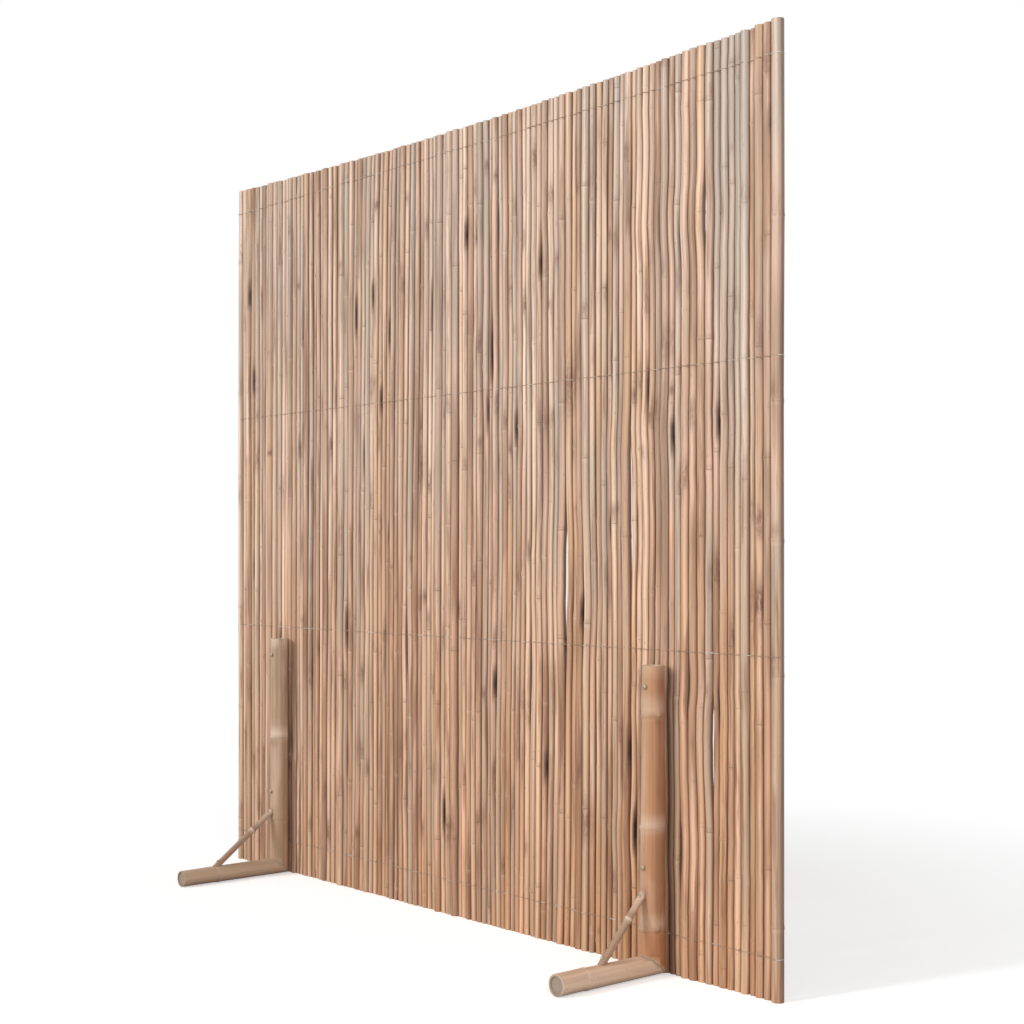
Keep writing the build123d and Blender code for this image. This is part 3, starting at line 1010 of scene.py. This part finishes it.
def post_cutters(face, hand):
    """The slanted cut over the foot, and the notch or kerf for the lowest rail or wire."""
    low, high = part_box("rail_1" if face == "rear" else "binding_wire_1")
    wire_low, wire_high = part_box("binding_wire_1")
    room = 0.4 * MM
    reach = wire_high.y + room if face == "rear" else wire_low.y - room
    outline = [(0.0, low.z - room), (reach, low.z - room), (reach, high.z + room), (0.0, high.z + room)]
    notch = block_cutter("notch", middle_x(f"{face}_post_{hand}"), outline)
    return mitre_cutter(face, hand, False), notch


class SCREEN_OT_feet(bpy.types.Operator):
    """Draw the four feet, each closed by a node just inside its outer end"""

    bl_idname = "bamboo_screen.feet"
    bl_label = "Feet"

    def execute(self, context):
        settings = context.scene.screen_stands
        skin = foot_skin()
        for face, hand, node in stand_nodes("foot"):
            side = FACES[face]
            shape = foot_shape(face, hand)
            inner, outer = shape["ends"]
            tone = 0.85 if hand == "right" else 0.15
            draft = Draft()
            noise.seed_set(700 + len(node) + 3 * side)
            draw_culm(
                draft,
                lambda place: shape["line"](place + inner),
                (Vector((1, 0, 0)), Vector((0, 0, 1)), Vector((0, side, 0))),
                outer - inner,
                [place - inner for place in shape["nodes"]],
                lambda place: shape["radius"](place + inner),
                STAND_SWELLS["foot"],
                settings.sides,
                POLE_STEP,
                lambda place, angle, nearest: {
                    "variety": tone,
                    "warmth": 0.05,
                    # Painted shade on the underside of the foot
                    "flank": 0.7 * max(0.0, -math.sin(angle)) ** 1.5,
                    "ring_strength": 0.12,
                    "bloom_strength": 0.1,
                },
                ((0.5, 0.001, 0.0), (settings.foot_bore / 2 / shape["radius"](outer), 0.003, 0.85)),
            )
            piece = draft.build("round_" + node, skin)
            carve(piece, [mitre_cutter(face, hand, True)])
            place_piece(piece, node)
        return {"FINISHED"}


class SCREEN_OT_braces(bpy.types.Operator):
    """Draw the four braces, cut to the round of their posts and feet"""

    bl_idname = "bamboo_screen.braces"
    bl_label = "Braces"

    def execute(self, context):
        settings = context.scene.screen_stands
        skin = brace_skin()
        for face, hand, node in stand_nodes("brace"):
            side = FACES[face]
            post, foot = post_shape(face, hand), foot_shape(face, hand)
            low, high = brace_ends(settings, face, hand)
            ahead = (high - low).normalized()
            length = (high - low).length
            overrun = 2 * settings.brace_radius
            across = Vector((1, 0, 0))
            draft = Draft()
            noise.seed_set(500 + len(node) + 7 * side)

            def line(place):
                wave = across * 0.5 * MM * math.sin(25 * place)
                return low + ahead * (place - overrun) + wave

            draw_culm(
                draft,
                line,
                (across, ahead.cross(across), ahead),
                length + 2 * overrun,
                [overrun + 0.66 * length],
                lambda place: settings.brace_radius * (1 + 0.03 * math.sin(40 * place)),
                STAND_SWELLS["brace"],
                settings.sides // 2,
                POLE_STEP / 2,
                lambda place, angle, nearest: {
                    "variety": 0.35 + 0.4 * hill(place - length, 0.04),
                    "warmth": 0.12,
                    "bloom": 0.5 * hill(place - length - overrun, 0.012),
                    "ring_strength": 0.7,
                },
                ((0.4, 0.01), (0.4, 0.01)),
                [(overrun + 0.66 * length, 2.2)],
            )
            piece = draft.build("round_" + node, skin)
            steps = (-60 * MM, 60 * MM)
            upright = [post["line"](high.z + step) for step in steps]
            lying = [foot["line"](abs(low.y) + step) for step in steps]
            cutters = (
                round_cutter("post", *upright, post["radius"](high.z) + 0.3 * MM),
                round_cutter("foot", *lying, foot["radius"](abs(low.y)) + 0.3 * MM),
            )
            carve(piece, cutters)
            place_piece(piece, node)
        return {"FINISHED"}


class SCREEN_OT_rails(bpy.types.Operator):
    """Draw the half-split rails behind the canes"""

    bl_idname = "bamboo_screen.rails"
    bl_label = "Rails"

    def execute(self, context):
        skin = rail_skin()
        for row, node in enumerate(nodes_named("rail_")):
            low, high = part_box(node)
            draft = Draft()
            draw_rail(draft, low, high, Random(31 + row))
            place_piece(draft.build("split_" + node, skin), node)
        return {"FINISHED"}


def draw_rail(draft, low, high, rng):
    """A half-split culm: outer skin, split edges and hollow, with a ridge at each node."""
    width, depth = high.z - low.z, high.y - low.y
    outer = (width**2 / 4 + depth**2) / (2 * depth)
    wall = 4.5 * MM
    middle = Vector((0, high.y - outer, (low.z + high.z) / 2))
    half_turn = math.asin(min(1, width / 2 / outer)) if depth < outer else math.pi / 2
    spacing = 0.31
    nodes = [low.x + 0.12 * rng.random() + number * spacing for number in range(1, 6)]
    places = stations_along(high.x - low.x, [node - low.x for node in nodes], 0.03)
    arc = 18
    variety = rng.random()
    rings = []
    for place in places:
        x = low.x + place
        nearest = min(nodes, key=lambda node: abs(node - x))
        mark, bloom = node_masks(x - nearest)
        ring = []
        for layer, radius in (("outer", outer), ("inner", outer - wall)):
            for number in range(arc + 1):
                share = number / arc if layer == "outer" else 1 - number / arc
                turn = -half_turn + 2 * half_turn * share
                reach = radius
                if layer == "outer":
                    reach += node_profile(x - nearest, 0.8 * MM) - 0.75 * MM
                ragged = 0.0
                if number in (0, arc):
                    ragged = 0.35 * MM * noise.noise((x * 60, turn * 2, variety * 9))
                point = middle + Vector((0, math.cos(turn) * reach, math.sin(turn) * reach + ragged))
                point.x = x
                values = {"variety": variety, "warmth": 0.08, "ring": mark * 0.8, "bloom": bloom * 0.5}
                if layer == "inner":
                    values = {"variety": variety, "cut": 0.8}
                ring.append(draft.point(point, (point.y, point.z, point.x), **values))
        rings.append(ring)
    for first, second in zip(rings, rings[1:]):
        draft.band(second, first)
    for ring, flip in ((rings[0], True), (rings[-1], False)):
        for number in range(arc):
            face = (ring[number], ring[number + 1], ring[-2 - number], ring[-1 - number])
            draft.faces.append(face if flip else face[::-1])


class SCREEN_OT_wires(bpy.types.Operator):
    """Lay the binding wires over the canes and round the rails"""

    bl_idname = "bamboo_screen.wires"
    bl_label = "Binding wires"

    def execute(self, context):
        settings = context.scene.screen_metal
        zinc = metal("zinc", tuple(settings.zinc), 0.42, 1.0)
        canes = grow_canes(context.scene.screen_canes)
        for row, node in enumerate(nodes_named("binding_wire_")):
            low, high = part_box(node)
            rail_low, rail_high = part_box(node.replace("binding_wire", "rail"))
            curve = bpy.data.curves.new("laid_" + node, "CURVE")
            curve.dimensions = "3D"
            curve.bevel_depth = settings.wire_radius
            curve.bevel_resolution = 2
            rng = Random(61 + row)
            lay_wire(curve, canes, (low, high), (rail_low, rail_high), settings.wire_radius, rng)
            curve.materials.append(zinc)
            piece = bpy.data.objects.new(curve.name, curve)
            context.scene.collection.objects.link(piece)
            place_piece(piece, node)
        return {"FINISHED"}


def lay_wire(curve, canes, box, rail_box, thick, rng):
    """One loop along the canes' fronts and behind the rail, and the ties that hold it to the rail."""
    low, high = box
    rail_low, rail_high = rail_box
    height = (low.z + high.z) / 2
    fronts = []
    for cane in canes:
        x = float(np.interp(height, cane["levels"], cane["line"]))
        y = float(np.interp(height, cane["heights"], cane["y"]))
        fronts.append((x, y, cane_radius(cane, height)))
    first, last = fronts[0], fronts[-1]
    path = [(low.x + thick, first[1], height), (low.x + 2.2 * MM, first[1] - 0.75 * first[2], height)]
    grooves = []
    for number, (x, y, radius) in enumerate(fronts):
        path.append((x, y - radius - thick * 0.8, height + rng.uniform(-0.6, 0.6) * MM))
        if number + 1 < len(fronts):
            after = fronts[number + 1]
            middle = (x + radius + after[0] - after[2]) / 2
            dip = max(y - radius, after[1] - after[2]) + rng.uniform(0.4, 1.6) * MM
            grooves.append((middle, dip))
            path.append((middle, dip, height + rng.uniform(-0.6, 0.6) * MM))
    path.append((high.x - 2.2 * MM, last[1] - 0.75 * last[2], height))
    path.append((high.x - thick, last[1], height))
    path.append((high.x - 4 * MM, last[1] + 0.8 * last[2], height))
    behind = rail_high.y + thick
    path.append((rail_high.x + 1.5 * MM, (rail_low.y + rail_high.y) / 2, height))
    path.append((rail_high.x - 8 * MM, behind, height))
    path.append((rail_low.x + 8 * MM, behind, height))
    path.append((rail_low.x - 1.5 * MM, (rail_low.y + rail_high.y) / 2, height))
    path.append((low.x + 4 * MM, first[1] + 0.8 * first[2], height))
    add_spline(curve, path)
    number = 2
    while number < len(grooves) - 2:
        middle, dip = grooves[number]
        if rail_low.x + 5 * MM < middle < rail_high.x - 12 * MM:
            add_spline(curve, tie_path(middle, dip, height, rail_low, rail_high, thick))
        number += rng.choice((3, 4, 5, 6))


def tie_path(x, dip, height, rail_low, rail_high, thick):
    """A turn of wire from a groove between two canes round the back of the rail."""
    above, below = rail_high.z - height + thick, rail_low.z - height - thick
    slant = 5 * MM
    reach = rail_high.y + thick * 3 - rail_low.y
    turns = [(0.35, 0.92), (0.75, 0.78), (0.98, 0.35), (1.0, 0.0)]
    turns += [(out, -up) for out, up in reversed(turns[:-1])]
    path = [(x - 1.5 * MM, dip - 1.2 * MM, height), (x - 0.8 * MM, dip + 3 * MM, height + 2 * MM)]
    path.append((x, rail_low.y - 1 * MM, height + above))
    for out, up in turns:
        lift = above * up if up > 0 else -below * up
        share = (1 - up) / 2
        path.append((x + slant * share, rail_low.y + reach * out, height + lift))
    path.append((x + slant * 0.6, rail_low.y - 1 * MM, height + below))
    path.append((x + 1.2 * MM, dip + 3 * MM, height - 2 * MM))
    path.append((x + 1.8 * MM, dip - 1.2 * MM, height - 0.4 * MM))
    return path


def add_spline(curve, path):
    """A closed smooth line through points."""
    spline = curve.splines.new("POLY")
    spline.points.add(len(path) - 1)
    for point, place in zip(spline.points, path):
        point.co = (*place, 1.0)
    spline.use_cyclic_u = True
    spline.use_smooth = True


class SCREEN_OT_nails(bpy.types.Operator):
    """Turn the nails with their low domed heads"""

    bl_idname = "bamboo_screen.nails"
    bl_label = "Nails"

    def execute(self, context):
        steel = metal("nail steel", NAIL_STEEL, 0.5)
        for node in ("post_nails", "brace_nails"):
            draft = Draft()
            for points in islands(node):
                draw_nail(draft, points, nail_shift(context.scene.screen_stands, node, points))
            place_piece(draft.build("turned_" + node, steel), node)
        return {"FINISHED"}


def nail_shift(settings, node, points):
    """How far a nail moves with the drawn surface of the pole or brace that it holds."""
    middle = sum(points, Vector()) / len(points)
    hand = "left" if middle.x < 0 else "right"
    if node == "post_nails":
        post = post_shape("front", hand)
        return Vector((0, 2 * (post["framed"](middle.z) - post["radius"](middle.z)), 0))
    face = "front" if middle.y < 0 else "rear"
    drawn = brace_ends(settings, face, hand)
    framed = brace_ends(settings, face, hand, True)
    nearest = min((0, 1), key=lambda end: (framed[end] - middle).length)
    return drawn[nearest] - framed[nearest]


def draw_nail(draft, points, shift):
    """One nail: a point, a round shank and a domed head, along the line of the framed one."""
    cloud = np.array([tuple(point) for point in points])
    middle = cloud.mean(0)
    ahead = np.linalg.svd(cloud - middle)[2][0]
    stations = (cloud - middle) @ ahead
    reaches = np.linalg.norm((cloud - middle) - np.outer(stations, ahead), axis=1)
    if stations[reaches.argmax()] > 0:
        ahead, stations = -ahead, -stations
    head, shank = reaches.max() * 0.97, reaches.min() * 0.95
    start, end = stations.min(), stations.max()
    dome = 0.25 * head
    profile = (
        (start - dome * 0.2, 0.25 * head),
        (start - dome * 0.05, 0.6 * head),
        (start + dome * 0.35, 0.92 * head),
        (start + dome * 0.7, head),
        (start + 1.5 * MM, head),
        (start + 1.6 * MM, shank * 1.15),
        (start + 3.0 * MM, shank),
        (end - 5 * MM, shank),
        (end, 0.1 * shank),
    )
    axis = Vector(ahead)
    across = axis.orthogonal().normalized()
    up = axis.cross(across)
    rings = []
    for station, radius in profile:
        place = Vector(middle) + shift + axis * float(station)
        rim = circle(place, across, up, float(radius), 24)
        rings.append([draft.point(place, place) for place in rim])
    draft.bar(rings)


def pole_skin():
    """Pale tan skin of the left post and the rear posts."""
    tones = ((0.0, (0.43, 0.30, 0.19)), (1.0, (0.42, 0.26, 0.16)))
    return bamboo("pale pole skin", tones, patch=(26.0, 26.0, 5.0), streaky=0.6)


def brown_skin():
    """Skin of the right front post: greenish tan on the left, rosy in front, orange brown on the right,
    darkest there with painted shade.
    """
    tones = (
        (0.0, (0.45, 0.33, 0.22)),
        (0.45, (0.47, 0.28, 0.16)),
        (0.8, (0.42, 0.20, 0.09)),
        (1.0, (0.33, 0.15, 0.07)),
    )
    return bamboo("brown pole skin", tones, patch=(26.0, 26.0, 5.0), streaky=0.35)


def foot_skin():
    """Rosy tan skin of the feet."""
    tones = ((0.0, (0.48, 0.35, 0.24)), (1.0, (0.75, 0.54, 0.39)))
    return bamboo("foot skin", tones, patch=(26.0, 26.0, 5.0), streaky=0.3)


def brace_skin():
    """Skin of the braces, with a paler stretch above the node."""
    return bamboo("brace skin", ((0.0, (0.26, 0.15, 0.09)), (1.0, (0.48, 0.32, 0.21))), streaky=0.7)


def rail_skin():
    """Skin of the split rails."""
    tones = ((0.0, (0.60, 0.44, 0.26)), (1.0, (0.50, 0.37, 0.22)))
    return bamboo("rail skin", tones, patch=(40.0, 40.0, 5.0))


class SCREEN_OT_stage(bpy.types.Operator):
    """Set the floor, the lamps, the sky and the camera"""

    bl_idname = "bamboo_screen.stage"
    bl_label = "Stage"

    def execute(self, context):
        settings = context.scene.screen_stage
        set_floor(settings)
        set_sky(context.scene, settings)
        key = add_lamp("key", "SUN", KEY_PLACE, KEY_AIM, settings.key_strength)
        key.angle = math.radians(KEY_ANGLE)
        fill = add_lamp("fill", "AREA", FILL_PLACE, FILL_AIM, settings.fill_power)
        fill.size = FILL_SIZE
        camera = bpy.data.cameras.new("camera")
        camera.lens = settings.lens
        camera.shift_y = CAMERA_RISE
        holder = bpy.data.objects.new("camera", camera)
        holder.location = CAMERA_PLACE
        holder.rotation_euler = Vector(CAMERA_GAZE).to_track_quat("-Z", "Y").to_euler()
        context.scene.collection.objects.link(holder)
        context.scene.camera = holder
        context.scene.view_settings.view_transform = "Standard"
        return {"FINISHED"}


def set_floor(settings):
    """A wide pale floor that keeps soft shadows near the screen and fades to white far from it."""
    mesh = bpy.data.meshes.new("floor")
    corners = [(x * FLOOR_REACH, y * FLOOR_REACH, 0) for x, y in ((-1, -1), (1, -1), (1, 1), (-1, 1))]
    mesh.from_pydata(corners, [], [(0, 1, 2, 3)])
    shader = Shader("floor")
    place = shader.node("ShaderNodeTexCoord").outputs["Object"]
    grain = shader.noise(place, 3.0)
    pale = tuple(settings.floor_colour)
    seen = shader.node("ShaderNodeLightPath").outputs["Is Camera Ray"]
    distance = shader.node("ShaderNodeVectorMath", operation="LENGTH")
    shader.feed(distance.inputs[0], place)
    far = shader.math("MULTIPLY", shader.span(distance.outputs["Value"], *FLOOR_FADE), seen)
    skin = shader.mix(grain, pale, tuple(0.985 * part for part in pale))
    shader.feed(shader.principled.inputs["Base Color"], shader.mix(far, skin, (0.0, 0.0, 0.0)))
    shader.principled.inputs["Roughness"].default_value = 0.9
    shader.principled.inputs["Specular IOR Level"].default_value = 0.0
    shader.principled.inputs["Emission Color"].default_value = (1.0, 1.0, 1.0, 1.0)
    rest = shader.math("MULTIPLY", far, 1 - settings.floor_glow)
    glow = shader.math("ADD", shader.math("MULTIPLY", seen, settings.floor_glow), rest)
    shader.feed(shader.principled.inputs["Emission Strength"], glow)
    mesh.materials.append(shader.material)
    floor = bpy.data.objects.new("floor", mesh)
    bpy.context.scene.collection.objects.link(floor)


def set_sky(scene, settings):
    """Even light from all round, seen by the camera as white."""
    world = bpy.data.worlds.new("sky")
    scene.world = world
    world.use_nodes = True
    nodes, links = world.node_tree.nodes, world.node_tree.links
    background = nodes["Background"]
    path = nodes.new("ShaderNodeLightPath")
    seen = nodes.new("ShaderNodeMath")
    seen.operation = "MAXIMUM"
    links.new(path.outputs["Is Camera Ray"], seen.inputs[0])
    links.new(path.outputs["Is Glossy Ray"], seen.inputs[1])
    strength = nodes.new("ShaderNodeMapRange")
    strength.inputs["To Min"].default_value = settings.sky
    strength.inputs["To Max"].default_value = 1.0
    links.new(seen.outputs["Value"], strength.inputs["Value"])
    links.new(strength.outputs["Result"], background.inputs["Strength"])
    background.inputs["Color"].default_value = (1.0, 1.0, 1.0, 1.0)


def add_lamp(name, kind, place, aim, power):
    """A lamp that points at a place."""
    lamp = bpy.data.lights.new(name, kind)
    lamp.energy = power
    holder = bpy.data.objects.new(name, lamp)
    holder.location = place
    holder.rotation_euler = (Vector(aim) - Vector(place)).to_track_quat("-Z", "Y").to_euler()
    bpy.context.scene.collection.objects.link(holder)
    return lamp


class SCREEN_PT_panel(bpy.types.Panel):
    """Lists the screen's pieces and their settings"""

    bl_idname = "SCREEN_PT_panel"
    bl_label = "Bamboo Screen"
    bl_space_type = "VIEW_3D"
    bl_region_type = "UI"
    bl_category = "Bamboo Screen"

    def draw(self, context):
        layout = self.layout
        for operator in OPERATORS:
            layout.operator(operator.bl_idname)
        for name, group in SETTINGS.items():
            box = layout.box()
            box.label(text=group.__doc__)
            for key in group.__annotations__:
                box.prop(getattr(context.scene, name), key)


SETTINGS = {
    "screen_canes": CaneSettings,
    "screen_stands": StandSettings,
    "screen_metal": MetalSettings,
    "screen_stage": StageSettings,
}
OPERATORS = (
    SCREEN_OT_canes,
    SCREEN_OT_posts,
    SCREEN_OT_feet,
    SCREEN_OT_braces,
    SCREEN_OT_rails,
    SCREEN_OT_wires,
    SCREEN_OT_nails,
    SCREEN_OT_stage,
)


def register():
    """Make the settings, operators and panel known."""
    for kind in (*SETTINGS.values(), *OPERATORS, SCREEN_PT_panel):
        bpy.utils.register_class(kind)
    for name, group in SETTINGS.items():
        setattr(bpy.types.Scene, name, PointerProperty(type=group))


def unregister():
    """Take the settings, operators and panel away."""
    for name in SETTINGS:
        delattr(bpy.types.Scene, name)
    for kind in (SCREEN_PT_panel, *reversed(OPERATORS), *SETTINGS.values()):
        bpy.utils.unregister_class(kind)


def main():
    """Dress the screen and set the stage."""
    register()
    bpy.ops.bamboo_screen.canes()
    bpy.ops.bamboo_screen.posts()
    bpy.ops.bamboo_screen.feet()
    bpy.ops.bamboo_screen.braces()
    bpy.ops.bamboo_screen.rails()
    bpy.ops.bamboo_screen.wires()
    bpy.ops.bamboo_screen.nails()
    bpy.ops.bamboo_screen.stage()


if __name__ == "__main__":
    main()
